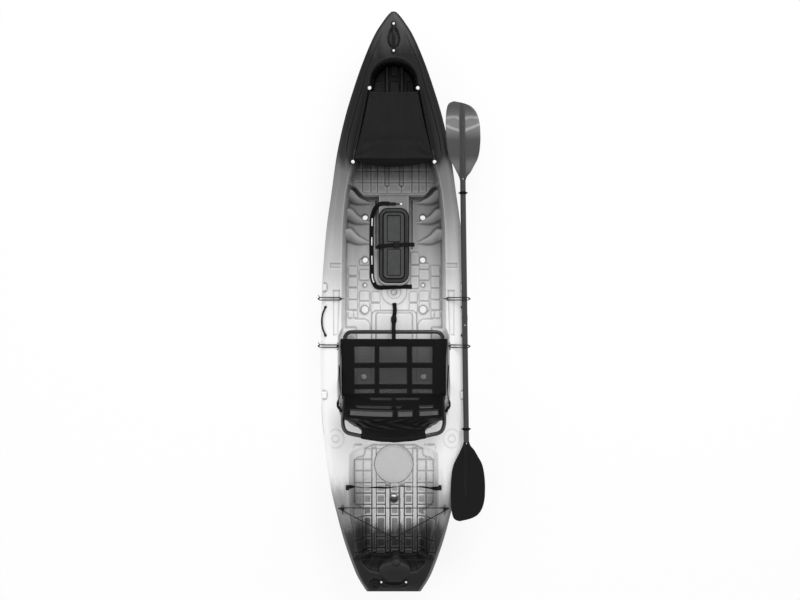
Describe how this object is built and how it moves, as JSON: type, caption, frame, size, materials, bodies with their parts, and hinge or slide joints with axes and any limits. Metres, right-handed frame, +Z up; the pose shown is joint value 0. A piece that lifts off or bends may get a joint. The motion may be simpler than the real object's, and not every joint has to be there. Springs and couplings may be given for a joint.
{
  "type": "fishing kayak",
  "caption": "Sit-on-top fishing kayak with moulded wells, a folding frame seat, a console hatch, deck rigging and a stowed two-part paddle.",
  "frame": {"origin": "on the keel's flat underside, on the centreline at half the hull's length", "axes": "+Y towards the bow, +X to starboard, +Z up"},
  "size_m": [0.9827, 3.4, 0.657],
  "materials": {
    "hull_plastic": "rotomoulded polyethylene, pale amidships and fading to black at bow and stern",
    "black_plastic": "moulded satin black",
    "hatch_rim": "moulded satin black",
    "hatch_plastic": "moulded dark grey, fine grain",
    "deck_plate_plastic": "fine-grained mid-light grey",
    "white_plastic": "white moulded heads",
    "coated_mesh": "black coated mesh",
    "seat_fabric": "black sling mesh with webbing",
    "webbing": "black ribbed webbing",
    "bungee": "black braided shock cord",
    "rubber": "black rubber",
    "frame_tube": "dark coated tube",
    "steel": "brushed",
    "paddle_shaft": "black anodised, glossy",
    "paddle_blade": "moulded black"
  },
  "bodies": {
    "root": {"hull": "hull_plastic", "bow_handle": "black_plastic", "bow_handle_screw_front": "white_plastic", "bow_handle_screw_rear": "white_plastic", "bow_cover": "coated_mesh", "bow_cover_cord_right": "bungee", "bow_cover_cord_left": "bungee", "bow_cover_stud_front_right": "white_plastic", "bow_cover_stud_rear_right": "white_plastic", "bow_cover_stud_front_left": "white_plastic", "bow_cover_stud_rear_left": "white_plastic", "hatch_frame": "hatch_rim", "hatch_gasket": "rubber", "seat_frame": "frame_tube", "seat_pan": "seat_fabric", "seat_foot_front_right": "rubber", "seat_foot_rear_right": "rubber", "seat_foot_front_left": "rubber", "seat_foot_rear_left": "rubber", "seat_hinge_plate_right": "black_plastic", "seat_hinge_pin_right": "steel", "seat_hinge_plate_left": "black_plastic", "seat_hinge_pin_left": "steel", "seat_side_strap_right": "webbing", "seat_side_strap_left": "webbing", "seat_tether": "webbing", "seat_tether_buckle": "black_plastic", "seat_tether_stud": "black_plastic", "floor_strap": "webbing", "floor_strap_clip": "black_plastic", "floor_strap_stud": "white_plastic", "lacing_knob_front_right": "black_plastic", "lacing_knob_front_left": "black_plastic", "lacing_knob_rear_right": "black_plastic", "lacing_knob_rear_left": "black_plastic", "stern_lacing": "bungee", "lashing_strap": "webbing"},
    "hatch_cover": {"hatch_lid": "hatch_plastic", "hatch_strap": "webbing", "hatch_strap_buckle": "black_plastic"},
    "seat_backrest": {"seat_back_frame": "frame_tube", "seat_back": "seat_fabric"},
    "paddle_stern_half": {"paddle_shaft_stern": "paddle_shaft", "paddle_blade_stern": "paddle_blade"},
    "paddle_bow_half": {"paddle_shaft_bow": "paddle_shaft", "paddle_blade_bow": "paddle_blade"},
    "ring_bow": {"drip_ring_bow": "rubber"},
    "ring_stern": {"drip_ring_stern": "rubber"},
    "snap_button": {"paddle_button": "steel"},
    "handle_right": {"side_handle_right": "black_plastic"},
    "handle_left": {"side_handle_left": "black_plastic"},
    "handle_stern": {"stern_handle": "black_plastic"},
    "drain": {"drain_plug": "black_plastic"},
    "round_plate": {"deck_plate": "deck_plate_plastic"},
    "keeper_a": {"keeper_front_right": "bungee"},
    "keeper_b": {"keeper_rear_right": "bungee"},
    "keeper_c": {"keeper_front_left": "bungee"},
    "keeper_d": {"keeper_rear_left": "bungee"}
  },
  "joints": [
    {"name": "hatch_lift", "type": "slide", "parent": "root", "child": "hatch_cover", "axis": [0, 0, 1], "range_m": [0, 0.15]},
    {"name": "backrest_fold", "type": "hinge", "parent": "root", "child": "seat_backrest", "pos_m": [0, -0.55614, 0.2796], "axis": [-1, 0, 0], "range_deg": [0, 108], "deforming": ["seat_side_strap_right", "seat_side_strap_left"]},
    {"name": "paddle_slide", "type": "slide", "parent": "root", "child": "paddle_stern_half", "axis": [-0.0133, 0.9999, 0], "range_m": [-0.1, 0.12]},
    {"name": "paddle_feather", "type": "hinge", "parent": "paddle_stern_half", "child": "paddle_bow_half", "pos_m": [0.41738, -0.104, 0.3268], "axis": [-0.0133, 0.9999, 0], "range_deg": [0, 60]},
    {"name": "ring_bow_slide", "type": "slide", "parent": "paddle_bow_half", "child": "ring_bow", "axis": [-0.0133, 0.9999, 0], "range_m": [-0.03, 0.03]},
    {"name": "ring_stern_slide", "type": "slide", "parent": "paddle_stern_half", "child": "ring_stern", "axis": [-0.0133, 0.9999, 0], "range_m": [-0.03, 0.03]},
    {"name": "snap_button_press", "type": "slide", "parent": "paddle_stern_half", "child": "snap_button", "axis": [0, 0, -1], "range_m": [0, 0.002], "stiffness_N_per_m": 800, "springref_m": -0.002},
    {"name": "side_handle_right_swing", "type": "hinge", "parent": "root", "child": "handle_right", "pos_m": [0.4035, -0.1075, 0.304], "axis": [0, -1, 0], "range_deg": [0, 30]},
    {"name": "side_handle_left_swing", "type": "hinge", "parent": "root", "child": "handle_left", "pos_m": [-0.4035, -0.1075, 0.304], "axis": [0, 1, 0], "range_deg": [0, 110]},
    {"name": "stern_handle_swing", "type": "hinge", "parent": "root", "child": "handle_stern", "pos_m": [0, -1.637, 0.3335], "axis": [-1, 0, 0], "range_deg": [0, 90]},
    {"name": "drain_plug_turn", "type": "hinge", "parent": "root", "child": "drain", "pos_m": [-0.112, -1.65206, 0.33], "axis": [0, 0, 1], "range_deg": [0, 720]},
    {"name": "deck_plate_turn", "type": "hinge", "parent": "root", "child": "round_plate", "pos_m": [0, -0.9639, 0.213], "axis": [0, 0, 1], "range_deg": [0, 90]},
    {"name": "keeper_front_right_swing", "type": "hinge", "parent": "root", "child": "keeper_a", "pos_m": [0.316, 0.02516, 0.3036], "axis": [0, -1, 0], "range_deg": [0, 110]},
    {"name": "keeper_rear_right_swing", "type": "hinge", "parent": "root", "child": "keeper_b", "pos_m": [0.334, -0.25398, 0.3036], "axis": [0, -1, 0], "range_deg": [0, 95]},
    {"name": "keeper_front_left_swing", "type": "hinge", "parent": "root", "child": "keeper_c", "pos_m": [-0.316, 0.02516, 0.3036], "axis": [0, 1, 0], "range_deg": [0, 110]},
    {"name": "keeper_rear_left_swing", "type": "hinge", "parent": "root", "child": "keeper_d", "pos_m": [-0.334, -0.25398, 0.3036], "axis": [0, 1, 0], "range_deg": [0, 95]}
  ]
}
